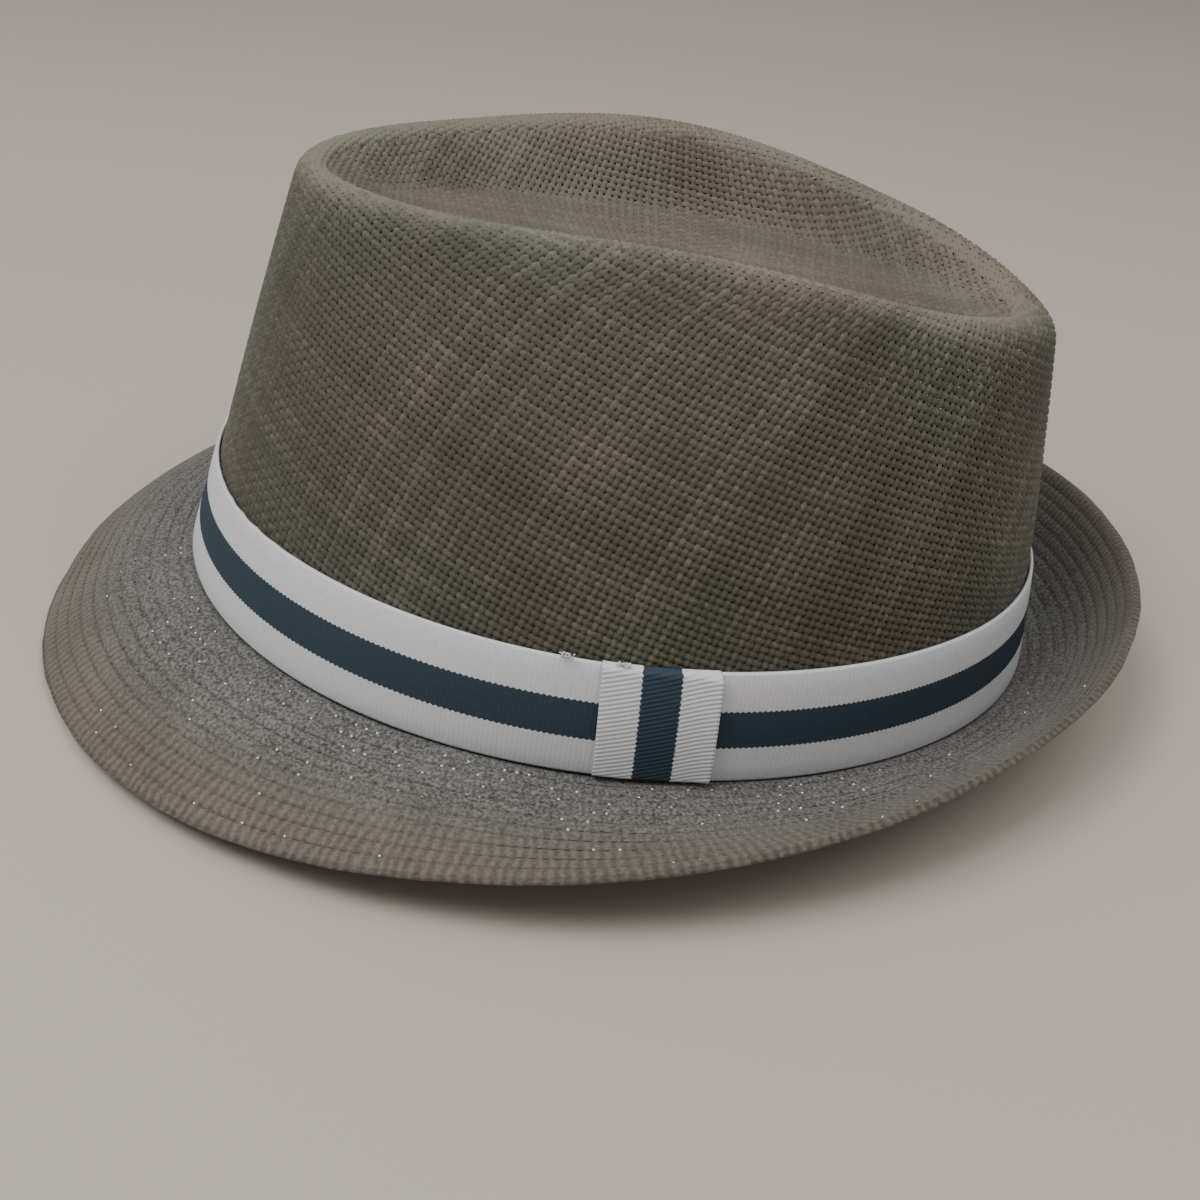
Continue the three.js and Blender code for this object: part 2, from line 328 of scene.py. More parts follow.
# %% Floor
FLOOR_HALF = 1.5
BOARD_ROUGHNESS = 0.7
floor_mesh = bpy.data.meshes.new("floor")
corners = [(x * FLOOR_HALF, y * FLOOR_HALF, 0) for x, y in ((-1, -1), (1, -1), (1, 1), (-1, 1))]
floor_mesh.from_pydata(corners, [], [(0, 1, 2, 3)])
floor = bpy.data.objects.new("floor", floor_mesh)
bpy.context.scene.collection.objects.link(floor)
paint, _, floor_shader = new_material("matt_painted_board", BOARD_ROUGHNESS)
floor_shader.inputs["Base Color"].default_value = linear("#c3b9af")
floor_mesh.materials.append(paint)

# %% Light
SKY_STRENGTH = 0.42
world = bpy.data.worlds.new("soft_sky")
world.use_nodes = True
sky = world.node_tree.nodes["Background"].inputs
sky["Color"].default_value = linear("#e8e6e3")
sky["Strength"].default_value = SKY_STRENGTH
bpy.context.scene.world = world


def soft_light(name, position, size, power):
    lamp = bpy.data.lights.new(name, "AREA")
    lamp.size = size
    lamp.energy = power
    light = bpy.data.objects.new(name, lamp)
    light.location = position
    light.rotation_euler = (-Vector(position)).to_track_quat("-Z", "Y").to_euler()
    bpy.context.scene.collection.objects.link(light)


soft_light("strong_lamp", position=(0.36, -0.6, 1.25), size=0.8, power=12.5)
soft_light("weaker_lamp", position=(0.35, 0.5, 1.3), size=1.0, power=6.5)


# %% [markdown]
# ## Woven paper straw
# The crown is cloth of twisted paper yarn in an open plain weave: each strand goes over one and under the
# next, and small square holes show the dark inside. A picture of a weave on a smooth wall would look flat
# at its outline and from below, so the strands themselves are made. Twisted paper is dull and slightly
# fibrous, which gives the eye no highlight, only a fine grain. A strand is a little lighter or darker than
# its neighbours, and the cloth has aged in faint green and brown patches. The rounded lip, where the light
# from above falls, is painted paler as a highlight. The fibres are drawn about 0.7 mm long, coarser than
# real ones, so that they show.

# %% Paper straw material
# How often each pattern comes back in a metre: blotches of 26 mm, aged patches of 48 mm, fibres of 0.7 mm.
STRAW_BLOTCHES = 38
AGED_PATCHES = 21
STRAW_FIBRES = 1400
# How much each of them lightens a strand, above the shade that all strands start from.
STRAW_START = 0.1
# The last share is a painted highlight: the lip is made paler where the light from above falls on it.
STRAW_SHARES = {"strand": 0.14, "blotch": 0.3, "fibre": 0.35, "lip_highlight": 0.3}
AGED_RANGE = (0.38, 0.62)
STRAW_ROUGHNESS = 0.78
STRAW_SHEEN = 0.15
FIBRE_HEIGHT = 0.0002
FIBRE_STRENGTH = 0.35


def mixed_shade(tree, start, shares, patterns):
    """A shade that starts at one value, to which each pattern adds its share."""
    shade = start
    for name, share in shares.items():
        step = add_node(tree, "ShaderNodeMath", {"operation": "MULTIPLY_ADD"},
                        {0: patterns[name], 1: share, 2: shade})
        shade = step.outputs[0]
    return shade


def straw_colour(tree, shade, places, colours, tinted, tints):
    """A dark, a middle and a light straw along the shade, multiplied by something between two faint tints."""
    ramp = add_node(tree, "ShaderNodeValToRGB", None, {"Fac": shade})
    ends = ramp.color_ramp.elements
    ends[0].position, ends[1].position = places[0], places[2]
    ends[0].color, ends[1].color = linear(colours[0]), linear(colours[2])
    ends.new(places[1]).color = linear(colours[1])
    tint = add_node(tree, "ShaderNodeMix", {"data_type": "RGBA"}, {
        "Factor": tinted, 6: linear(tints[0]), 7: linear(tints[1])})
    both = add_node(tree, "ShaderNodeMix", {"data_type": "RGBA", "blend_type": "MULTIPLY"}, {
        "Factor": 1.0, 6: ramp.outputs["Color"], 7: tint.outputs[2]})
    return both.outputs[2]


def straw_material(name, *colours):
    material, tree, shader = new_material(name, STRAW_ROUGHNESS)
    place = add_node(tree, "ShaderNodeTexCoord").outputs["Object"]
    blotch = add_node(tree, "ShaderNodeTexNoise", None,
                      {"Vector": place, "Scale": STRAW_BLOTCHES, "Detail": 2})
    fibre = add_node(tree, "ShaderNodeTexNoise", None, {"Vector": place, "Scale": STRAW_FIBRES, "Detail": 3})
    shade = mixed_shade(tree, STRAW_START, STRAW_SHARES, {
        "strand": add_node(tree, "ShaderNodeAttribute", {"attribute_name": "strand_shade"}).outputs["Fac"],
        "blotch": blotch.outputs["Fac"],
        "fibre": fibre.outputs["Fac"],
        # A painted highlight: the lip is made paler where the light from above falls on it.
        "lip_highlight": add_node(tree, "ShaderNodeAttribute", {"attribute_name": "painted_lip_highlight"}).outputs["Fac"],
    })
    aged = add_node(tree, "ShaderNodeTexNoise", None, {"Vector": place, "Scale": AGED_PATCHES, "Detail": 1})
    tinted = add_node(tree, "ShaderNodeMapRange", None,
                      {"Value": aged.outputs["Fac"], "From Min": AGED_RANGE[0], "From Max": AGED_RANGE[1]})
    colour = straw_colour(tree, shade, (0.25, 0.5, 0.75), colours, tinted.outputs[0], ("#fdf3ea", "#f0f6ee"))
    tree.links.new(colour, shader.inputs["Base Color"])
    shader.inputs["Sheen Weight"].default_value = STRAW_SHEEN
    bump = add_node(tree, "ShaderNodeBump", None,
                    {"Strength": FIBRE_STRENGTH, "Distance": FIBRE_HEIGHT, "Height": fibre.outputs["Fac"]})
    tree.links.new(bump.outputs["Normal"], shader.inputs["Normal"])
    return material


side_straw = straw_material("twisted_paper_straw", "#3a362d", "#565347", "#857e73")
top_straw = straw_material("twisted_paper_straw_top", "#453d36", "#696058", "#897f79")


# %% [markdown]
# The side of the crown is one strip of cloth with its straight grain up the front, so round at the sides
# its two families of strands lean. Two rules give them: the strands that go up keep their distance from the
# front, although the crown narrows, and the strands that go round rise toward the front. Toward the back
# the distances are stretched, because the strands lie further apart there. Each crossing is where one strand
# of each family meets, and a strand is raised at every second crossing and lowered at the others.

# %% Where the strands run on the crown's side
ROUND_SPACING = 1.42
UP_SPACING = 1.6
ROUND_RISE = 0.29
ROUND_EASE = 50
STRETCH = 0.28
STRETCH_FROM = 160
STRETCH_EASE = 20
WEAVE_LIFT = 0.24
SEAM_PINCH = 0.45
# The painted highlight on the lip fades out over this many millimetres below the seam.
LIP_HIGHLIGHT_REACH = 9.0
WEAVE_OFFSETS = (-0.27, 0.27)

FARTHEST_ROUND = 320.0

ring = np.linalg.norm(np.diff(side_sheet["points"][..., :3], axis=0), axis=-1)
from_front = np.concatenate([np.cumsum(ring[::-1], 0)[::-1], np.zeros((1, ring.shape[1]))])
ring_places = np.arange(0, FARTHEST_ROUND)
ring_angles = np.stack([
    np.interp(ring_places, from_front[::-1, row], half_turn[::-1]) for row in range(from_front.shape[1])
])


def angle_on_side(from_front_mm, height):
    row = np.clip(height / side_sheet["row_step"], 0, len(ring_angles) - PAST_LAST)
    column = np.clip(from_front_mm, 0, len(ring_places) - PAST_LAST)
    under, left = row.astype(int), column.astype(int)
    up, across = row - under, column - left
    low = ring_angles[under, left] * (1 - across) + ring_angles[under, left + 1] * across
    high = ring_angles[under + 1, left] * (1 - across) + ring_angles[under + 1, left + 1] * across
    return low * (1 - up) + high * up


def stretched(distance):
    """Distances from the front, with the spacing growing past one place until it is wider by STRETCH."""
    past = distance - STRETCH_FROM
    pulled = np.hypot(past, STRETCH_EASE) + past
    none = math.hypot(STRETCH_FROM, STRETCH_EASE) - STRETCH_FROM
    return distance + STRETCH / 2 * (pulled - none)


def side_cloth(round_number, up_number):
    """Crossings: their places, outward directions, whether they lie on the cloth, and the way to the seam."""
    distance = stretched(np.abs(up_number) * UP_SPACING)
    height = round_number * ROUND_SPACING - ROUND_RISE * (np.hypot(distance, ROUND_EASE) - ROUND_EASE)
    row = np.clip(height / side_sheet["row_step"], 0, from_front.shape[1] - 1)
    back = from_front[0, row.astype(int)]
    angle = angle_on_side(distance, height)
    top = np.interp(angle, half_turn, side_sheet["ends"])
    point, outward = read_sheet(side_sheet, angle, height)
    mirror = np.stack([np.where(up_number < 0, -1, 1), np.ones_like(angle), np.ones_like(angle)], -1)
    on_cloth = (height > SEAM_GAP) & (height < top) & (distance < back + UP_SPACING / 2)
    return point * mirror, outward * mirror, on_cloth, top - height


# %% [markdown]
# The top is a separate oval of the same cloth with its grain straight from front to back. It is read from
# its middle outward, with distances measured along the cloth, so the spacing stays even down in the dish
# and up its steep face.

# %% Where the strands run on the crown's top
TOP_SPACING = 1.55
plan = oval_point(LIP_OVAL, full_turn) - np.array([0, LIP_OVAL["shift"], 0])
plan_bearing = np.unwrap(np.arctan2(plan[:, 0], plan[:, 1]))


def top_cloth(across_number, along_number):
    across = across_number * TOP_SPACING
    along = along_number * TOP_SPACING
    bearing = np.arctan2(across, along) % (2 * math.pi)
    angle = np.interp(bearing, plan_bearing, full_turn)
    distance = np.hypot(across, along)
    point, outward = read_sheet(top_sheet, angle, distance)
    to_seam = np.interp(angle, full_turn, top_sheet["ends"]) - distance
    return point, outward, to_seam > 0, to_seam


# %% Strand paths
def strand_paths(cloth, strands, crossings, lies_across, sign, lip_highlight):
    """Paths of one family of strands, as points, outward directions and the pairs that join up."""
    steps = (np.array(crossings)[:, None] + np.array(WEAVE_OFFSETS)).ravel()
    strand, step = np.meshgrid(np.array(strands, float), steps, indexing="ij")
    first, second = (strand, step) if lies_across else (step, strand)
    point, outward, on_cloth, to_seam = cloth(first, second)
    parity = np.where((strand + np.round(step)) % 2 == 0, 1, -1) * sign
    depth = -WALL_CLOTH / 2 + WEAVE_LIFT * parity - SEAM_PINCH * np.exp(-to_seam ** 2)
    point = point + outward * depth[..., None]
    joined = on_cloth[:, 1:] & on_cloth[:, :-1]
    number = np.arange(strand.size).reshape(strand.shape)
    pairs = np.stack([number[:, :-1][joined], number[:, 1:][joined]], -1)
    used, pairs = np.unique(pairs, return_inverse=True)
    # Painted highlight: points near the seam, on the lip that catches the light from above, are marked paler.
    marks = {"painted_lip_highlight": lip_highlight * np.exp(-(to_seam.ravel()[used] / LIP_HIGHLIGHT_REACH) ** 2)}
    return point.reshape(-1, 3)[used], outward.reshape(-1, 3)[used], pairs.reshape(-1, 2), marks


def path_object(name, point, outward, pairs, marks):
    """A mesh of bare edges. Each mark is a number on every point, which the node trees and materials read."""
    mesh = bpy.data.meshes.new(name)
    mesh.from_pydata(at_rest(point).tolist(), pairs.tolist(), [])
    facing = mesh.attributes.new("outward", "FLOAT_VECTOR", "POINT")
    turned = at_rest(outward) - at_rest(0 * outward)
    facing.data.foreach_set("vector", unit(turned).ravel())
    for mark, values in marks.items():
        mesh.attributes.new(mark, "FLOAT", "POINT").data.foreach_set("value", values)
    path = bpy.data.objects.new(name, mesh)
    bpy.context.scene.collection.objects.link(path)
    return path


# %% [markdown]
# Geometry Nodes turn the paths into strands. The tree sweeps a small three-sided section along each path,
# ridge outward, and shades the ridge smooth, so that it reads as a flattened yarn. Paper yarn is uneven,
# so each strand gets its own width and shade, and the width also wanders along it.

# %% Geometry Nodes helpers
def new_tree(name, sizes):
    tree = bpy.data.node_groups.new(name, "GeometryNodeTree")
    tree.interface.new_socket("Geometry", in_out="INPUT", socket_type="NodeSocketGeometry")
    tree.interface.new_socket("Geometry", in_out="OUTPUT", socket_type="NodeSocketGeometry")
    kinds = {float: "NodeSocketFloat", int: "NodeSocketInt"}
    for size, value in sizes.items():
        socket = tree.interface.new_socket(size, in_out="INPUT", socket_type=kinds[type(value)])
        socket.default_value = value
    tree.interface.new_socket("Material", in_out="INPUT", socket_type="NodeSocketMaterial")
    return tree, add_node(tree, "NodeGroupInput").outputs


KNIFE_EDGE = math.radians(100)


def finish_tree(tree, geometry, material):
    """Shades smooth except at knife edges, makes instances real, and sets the material."""
    turn = add_node(tree, "GeometryNodeInputMeshEdgeAngle").outputs["Unsigned Angle"]
    blunt = add_node(tree, "FunctionNodeCompare", {"operation": "LESS_THAN"}, {0: turn, 1: KNIFE_EDGE})
    smooth = add_node(tree, "GeometryNodeSetShadeSmooth", {"domain": "EDGE"},
                      {"Geometry": geometry, "Shade Smooth": blunt.outputs[0]})
    real = add_node(tree, "GeometryNodeRealizeInstances", None, {"Geometry": smooth.outputs[0]})
    dressed = add_node(tree, "GeometryNodeSetMaterial", None,
                       {"Geometry": real.outputs[0], "Material": material})
    add_node(tree, "NodeGroupOutput", None, {"Geometry": dressed.outputs[0]})


def run_tree(source, tree, values):
    """Runs a tree on an object and leaves the result in it as a plain mesh."""
    modifier = source.modifiers.new(tree.name, "NODES")
    modifier.node_group = tree
    for item in tree.interface.items_tree:
        if item.in_out == "INPUT" and item.name in values:
            modifier[item.identifier] = values[item.name]
    graph = bpy.context.evaluated_depsgraph_get()
    result = bpy.data.meshes.new_from_object(
        source.evaluated_get(graph), preserve_all_data_layers=True, depsgraph=graph)
    source.modifiers.clear()
    source.data = result
    result.name = source.name
    triangles = sum(len(face.vertices) - 2 for face in result.polygons)
    print(source.name, "has", triangles, "triangles")
    return source


def keep(piece, slot, *nodes):
    """A finished piece moves with the hat and stands for plain parts, which are hidden. The slot is not used.
    """
    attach(piece, "root")
    if nodes:
        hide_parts(*nodes)


# %% The strand tree
ROUND_WIDTH = 0.0013
UP_WIDTH = 0.00122
STRAND_THICKNESS = 0.0005
# A strand's width wanders about every 4 mm, which is 260 times in a metre.
WIDTH_WANDERS = 260

strand_tree, sizes = new_tree("swept_strand", {
    "Width": ROUND_WIDTH,
    "Thickness": STRAND_THICKNESS,
    "Unevenness": 0.12,
    "Seed": 7,
})
curve = add_node(strand_tree, "GeometryNodeMeshToCurve", None, {"Mesh": sizes["Geometry"]})
which = add_node(strand_tree, "GeometryNodeCurveOfPoint").outputs["Curve Index"]
shade = add_node(strand_tree, "FunctionNodeRandomValue", {"data_type": "FLOAT"},
                 {"ID": which, "Seed": sizes["Seed"]}).outputs[1]
curve = add_node(strand_tree, "GeometryNodeStoreNamedAttribute", {"data_type": "FLOAT", "domain": "POINT"},
                 {"Geometry": curve.outputs[0], "Name": "strand_shade", "Value": shade})
outward = add_node(strand_tree, "GeometryNodeInputNamedAttribute", {"data_type": "FLOAT_VECTOR"},
                   {"Name": "outward"}).outputs[0]
curve = add_node(strand_tree, "GeometryNodeSetCurveNormal", {"mode": "FREE"},
                 {"Curve": curve.outputs[0], "Normal": outward})
wander = add_node(strand_tree, "ShaderNodeTexNoise", None,
                  {"Scale": WIDTH_WANDERS, "Detail": 1}).outputs["Fac"]
both = add_node(strand_tree, "ShaderNodeMath", {"operation": "ADD"}, {0: wander, 1: shade})
uneven = add_node(strand_tree, "ShaderNodeMath", {"operation": "SUBTRACT"}, {0: both.outputs[0], 1: 1.0})
uneven = add_node(strand_tree, "ShaderNodeMath", {"operation": "MULTIPLY_ADD"},
                  {0: uneven.outputs[0], 1: sizes["Unevenness"], 2: 1.0})
# A ring of three points with a radius of 1 is 1.5 across one way and the root of 3 the other way.
ring_of_three = add_node(strand_tree, "GeometryNodeCurvePrimitiveCircle", None,
                         {"Resolution": 3, "Radius": 1.0})
half_width = add_node(strand_tree, "ShaderNodeMath", {"operation": "DIVIDE"},
                      {0: sizes["Width"], 1: math.sqrt(3)})
half_thickness = add_node(strand_tree, "ShaderNodeMath", {"operation": "DIVIDE"},
                          {0: sizes["Thickness"], 1: 1.5})
section_size = add_node(strand_tree, "ShaderNodeCombineXYZ", None,
                        {"X": half_thickness.outputs[0], "Y": half_width.outputs[0], "Z": 1.0})
section = add_node(strand_tree, "GeometryNodeTransform", None,
                   {"Geometry": ring_of_three.outputs[0], "Scale": section_size.outputs[0]})
swept = add_node(strand_tree, "GeometryNodeCurveToMesh", None, {
    "Curve": curve.outputs[0],
    "Profile Curve": section.outputs[0],
    "Scale": uneven.outputs[0],
    "Fill Caps": True,
})
finish_tree(strand_tree, swept.outputs[0], sizes["Material"])

# %% [markdown]
# On the crown's side, the strands that go round and the strands that go up are each made as two sheds, the
# odd strands and the even ones, as a loom lifts them, and each shed is one mesh. The top is smaller, so each
# of its two families is one mesh.

# %% Weave the crown's side and top
SIDE_ROUND = range(1, 130)
SIDE_UP = range(-190, 191)
TOP_ACROSS = range(-40, 41)
TOP_ALONG = range(-54, 55)
# The top's edge takes the painted lip highlight at this strength.
TOP_LIP_HIGHLIGHT = 0.3


def weave(name, cloth, strands, crossings, is_round, material, node, seed):
    lip_highlight = 1.0 if cloth is side_cloth else TOP_LIP_HIGHLIGHT
    sign, width = (1, ROUND_WIDTH) if is_round else (-1, UP_WIDTH)
    path = path_object(name, *strand_paths(cloth, strands, crossings, is_round, sign, lip_highlight))
    run_tree(path, strand_tree, {"Material": material, "Seed": seed, "Width": width})
    keep(path, "woven_straw", node)


for shed in (0, 1):
    weave(f"side_round_strands_{shed + 1}", side_cloth, SIDE_ROUND[shed::2], SIDE_UP, True,
          side_straw, "crown_side", 11 + shed)
    weave(f"side_up_strands_{shed + 1}", side_cloth, SIDE_UP[shed::2], SIDE_ROUND, False,
          side_straw, "crown_side", 21 + shed)
weave("top_along_strands", top_cloth, TOP_ACROSS, TOP_ALONG, True, top_straw, "crown_tip", 31)
weave("top_across_strands", top_cloth, TOP_ALONG, TOP_ACROSS, False, top_straw, "crown_tip", 32)


# %% [markdown]
# ## Striped ribbon
# The ribbon is grosgrain: its cross threads are thick, so it has fine ribs across its whole width. Off-white
# and navy stripes share the width in thirds, and where they meet the ribs make the edge look like a fine
# saw. The ribs are real waves in the mesh, sharpened by a bump, and they break up the light, so the ribbon
# looks dull. The stripes are painted from the ribbon's own two distances, along it and across it, which each
# point carries in millimetres.

# %% Ribbon material
RIB_SPACING = 0.95
TOOTH_SPACING = 1.15
TOOTH_DEPTH = 0.34
STRIPE_BLUR = 0.08
# How often each pattern comes back in a millimetre. Flecks are longer across the ribbon than along it.
RIBBON_CLOUDS = 0.9
RIBBON_FLECKS = (3.2, 1.1, 1.0)
RIBBON_ROUGHNESS = 0.75
RIBBON_SHINE = 0.2
RIBBON_BUMP_HEIGHT = 0.0001
FLECK_SHARE = 0.8


def ribbon_material(name, width, rib_strength):
    material, tree, shader = new_material(name, RIBBON_ROUGHNESS)
    place = add_node(tree, "ShaderNodeAttribute", {"attribute_name": "ribbon_mm"}).outputs["Vector"]
    parts = add_node(tree, "ShaderNodeSeparateXYZ", None, {0: place}).outputs
    tooth = add_node(tree, "ShaderNodeMath", {"operation": "PINGPONG"}, {0: parts["X"], 1: TOOTH_SPACING / 2})
    tooth = add_node(tree, "ShaderNodeMath", {"operation": "MULTIPLY"},
                     {0: tooth.outputs[0], 1: TOOTH_DEPTH * 2 / TOOTH_SPACING})
    middle = add_node(tree, "ShaderNodeMath", {"operation": "SUBTRACT"}, {0: parts["Y"], 1: width / 2})
    middle = add_node(tree, "ShaderNodeMath", {"operation": "ABSOLUTE"}, {0: middle.outputs[0]})
    edge = add_node(tree, "ShaderNodeMath", {"operation": "ADD"}, {0: middle.outputs[0], 1: tooth.outputs[0]})
    half_stripe = width / 6 + TOOTH_DEPTH / 2
    is_white = add_node(tree, "ShaderNodeMapRange", None, {
        "Value": edge.outputs[0],
        "From Min": half_stripe - STRIPE_BLUR,
        "From Max": half_stripe + STRIPE_BLUR,
    })
    cloud = add_node(tree, "ShaderNodeTexNoise", None, {"Vector": place, "Scale": RIBBON_CLOUDS, "Detail": 4})
    thread = add_node(tree, "ShaderNodeMapping", None, {"Vector": place, "Scale": RIBBON_FLECKS})
    fleck = add_node(tree, "ShaderNodeTexNoise", None,
                     {"Vector": thread.outputs[0], "Scale": 1.0, "Detail": 2})
    white = add_node(tree, "ShaderNodeMix", {"data_type": "RGBA"}, {
        "Factor": cloud.outputs["Fac"], 6: linear("#d3d3d6"), 7: linear("#ebebee")})
    navy = add_node(tree, "ShaderNodeMix", {"data_type": "RGBA"}, {
        "Factor": fleck.outputs["Fac"], 6: linear("#2a3844"), 7: linear("#42525e")})
    colour = add_node(tree, "ShaderNodeMix", {"data_type": "RGBA"}, {
        "Factor": is_white.outputs[0], 6: navy.outputs[2], 7: white.outputs[2]})
    tree.links.new(colour.outputs[2], shader.inputs["Base Color"])
    shader.inputs["Specular IOR Level"].default_value = RIBBON_SHINE
    rib = add_node(tree, "ShaderNodeMath", {"operation": "MULTIPLY"},
                   {0: parts["X"], 1: 2 * math.pi / RIB_SPACING})
    rib = add_node(tree, "ShaderNodeMath", {"operation": "SINE"}, {0: rib.outputs[0]})
    height = add_node(tree, "ShaderNodeMath", {"operation": "MULTIPLY_ADD"},
                      {0: fleck.outputs["Fac"], 1: FLECK_SHARE, 2: rib.outputs[0]})
    bump = add_node(tree, "ShaderNodeBump", None,
                    {"Strength": rib_strength, "Distance": RIBBON_BUMP_HEIGHT, "Height": height.outputs[0]})
    tree.links.new(bump.outputs["Normal"], shader.inputs["Normal"])
    return material


band_cloth = ribbon_material("striped_grosgrain", RIBBON_WIDTH, rib_strength=0.15)
tab_cloth = ribbon_material("striped_grosgrain_tab", TAB_WIDTH, rib_strength=0.35)


# %% [markdown]
# A ribbon is a closed skin with a real thickness. Its section is a list of places, each a height up the
# wall and a distance out from it, and it is carried round the hat. Both ribbons use the same helper, and
# the brim uses the part of it that makes the mesh.

# %% A closed ribbon from a section
def wall_point(angle, height, out):
    """Places off the crown's wall, for whole arrays of angles, heights and distances out."""
    folded = np.abs(np.arctan2(np.sin(angle), np.cos(angle)))
    mirror = np.where(np.sin(angle) < 0, -1.0, 1.0)[..., None]
    point, outward = read_sheet(side_sheet, folded, np.maximum(height, 0))
    place = point + outward * out[..., None] + UP * np.minimum(height, 0)[..., None]
    return place * np.concatenate([mirror, np.ones_like(mirror), np.ones_like(mirror)], -1)


def make_outward(piece):
    """Turns a closed piece's faces outward where its volume comes out negative."""
    mesh = piece.data
    mesh.calc_loop_triangles()
    corners = np.empty(len(mesh.vertices) * 3)
    mesh.vertices.foreach_get("co", corners)
    corners = corners.reshape(-1, 3)
    triangles = np.empty(len(mesh.loop_triangles) * 3, int)
    mesh.loop_triangles.foreach_get("vertices", triangles)
    first, second, third = (corners[triangles.reshape(-1, 3)[:, i]] for i in range(3))
    if (first * np.cross(second, third)).sum() < 0:
        mesh.flip_normals()


def closed_skin(name, points, faces, flat_faces, attribute, values, material):
    """A closed mesh, smooth but for its last faces, with each point's place in its own cloth."""
    mesh = bpy.data.meshes.new(name)
    mesh.from_pydata(at_rest(points.reshape(-1, 3)).tolist(), [], faces)
    mesh.polygons.foreach_set("use_smooth", [True] * (len(faces) - flat_faces) + [False] * flat_faces)
    place = mesh.attributes.new(attribute, "FLOAT_VECTOR", "POINT")
    place.data.foreach_set("vector", values.ravel())
    mesh.materials.append(material)
    piece = bpy.data.objects.new(name, mesh)
    bpy.context.scene.collection.objects.link(piece)
    make_outward(piece)
    print(name, "has", sum(len(face) - 2 for face in faces), "triangles")
    return piece


def closed_strip(name, points, ribbon_mm, material):
    """A solid strip: the second axis of the points is a closed section, and its two ends are capped."""
    columns, around = points.shape[:2]
    number = np.arange(columns * around).reshape(columns, around)
    after = np.roll(number, -1, 1)
    quads = np.stack([number[:-1], number[1:], after[1:], after[:-1]], -1).reshape(-1, 4)
    ends = [number[0].tolist(), number[-1][::-1].tolist()]
    return closed_skin(name, points, quads.tolist() + ends, len(ends), "ribbon_mm", ribbon_mm, material)


# %% Band
RIB_STEPS = 4
RIB_HEIGHT = 0.02
RIPPLE_PLACE = math.radians(146)
RIPPLE_SPREAD = math.radians(9)
RIPPLE_HEIGHT = 0.7
RIPPLE_WAVES = 40
EDGE_ROUNDING = 0.25
EDGE_SHARPNESS = 24
BAND_GAP = 0.1
BAND_ROWS = np.array([0, 0.02, 0.15, 0.3, 0.5, 0.7, 0.85, 0.98, 1])

head_ring = oval_point(HEAD_OVAL, full_turn)
head_lengths = lengths_along(head_ring[None])[0]
rib_count = round(head_lengths[-1] / RIB_SPACING)
along = np.linspace(BAND_GAP, head_lengths[-1] - BAND_GAP, rib_count * RIB_STEPS + 1)
joint = np.interp(TAB_TURN, full_turn, head_lengths)
angle = np.interp((along + joint) % head_lengths[-1], head_lengths, full_turn)
up = RIBBON_WIDTH * BAND_ROWS
back = np.array([RIBBON_WIDTH, RIBBON_WIDTH / 2, 0])
rib = RIB_HEIGHT * np.cos(2 * np.pi * along / RIB_SPACING)[:, None]
ripple = np.exp(-((angle - RIPPLE_PLACE) / RIPPLE_SPREAD) ** 2) * np.sin(angle * RIPPLE_WAVES)


def loosening(heights):
    """How far the ribbon's upper half stands off the crown where its edge ripples."""
    upper_half = np.clip(heights / RIBBON_WIDTH - 0.5, 0, 1)
    return np.abs(RIPPLE_HEIGHT * ripple[:, None] * 2 * upper_half ** 2)


rounded = EDGE_ROUNDING * (np.abs(up / RIBBON_WIDTH - 0.5) * 2) ** EDGE_SHARPNESS
outer = loosening(up) + rib + SEAM_GAP + RIBBON_CLOTH - rounded
inner = loosening(back) + SEAM_GAP
section_up = np.concatenate([up, back]) + RIBBON_START + 0 * along[:, None]
section_out = np.concatenate([outer, inner], 1)
band_points = wall_point(angle[:, None] + 0 * section_up, section_up, section_out)
band_mm = np.stack([along[:, None] + 0 * section_up, section_up - RIBBON_START, 0 * section_up], -1)
band = closed_strip("ribbon_round_the_crown", band_points, band_mm, band_cloth)
keep(band, "striped_ribbon", "ribbon_band")

# %% [markdown]
# The tab is a short piece of the same ribbon, wrapped round the band over its joint and tucked in above and
# below. Its ribs run across it, so from the side they climb a little. Its back edge stands off the band.

# %% Tab
TAB_COLUMNS = 40
TAB_STEPS_UP = 120
TAB_RIB_HEIGHT = 0.06
TAB_RIB_SLANT = math.tan(math.radians(17))
TAB_EDGE_LIFT = 4.0
TAB_LIFT_START = 0.55
TAB_FOLD = 1.3
TAB_INNER_FOLD = 0.75
TAB_BELLY = 0.35
TAB_LOW = 0.6
TAB_HIGH = RIBBON_START + RIBBON_WIDTH + 0.4
TAB_CLEARANCE = 2 * SEAM_GAP + RIBBON_CLOTH

across = np.linspace(-0.5, 0.5, TAB_COLUMNS + 1)
part = np.linspace(0, 1, TAB_STEPS_UP + 1)
height = TAB_LOW + (TAB_HIGH - TAB_LOW) * part
fold = 1 - np.minimum(np.minimum(part, 1 - part) * (TAB_HIGH - TAB_LOW) / TAB_FOLD, 1)
fold_drop = TAB_CLEARANCE * (1 - np.sqrt(np.maximum(1 - fold ** 2, 0)))
slant = TAB_WIDTH * across[:, None] * TAB_RIB_SLANT
ribs = TAB_RIB_HEIGHT * np.cos(2 * np.pi * (height + slant) / RIB_SPACING)
back_edge = TAB_EDGE_LIFT * np.clip(-across[:, None] * 2 - TAB_LIFT_START, 0, 1) ** 2 * (1 - fold)
belly = TAB_BELLY * np.sin(np.pi * part) ** 0.5
outer = TAB_CLEARANCE + RIBBON_CLOTH - fold_drop + ribs + back_edge + belly
inner = TAB_CLEARANCE - fold_drop * TAB_INNER_FOLD + back_edge + belly + 0 * slant
section_up = np.concatenate([height, height[::-1]]) + 0 * across[:, None]
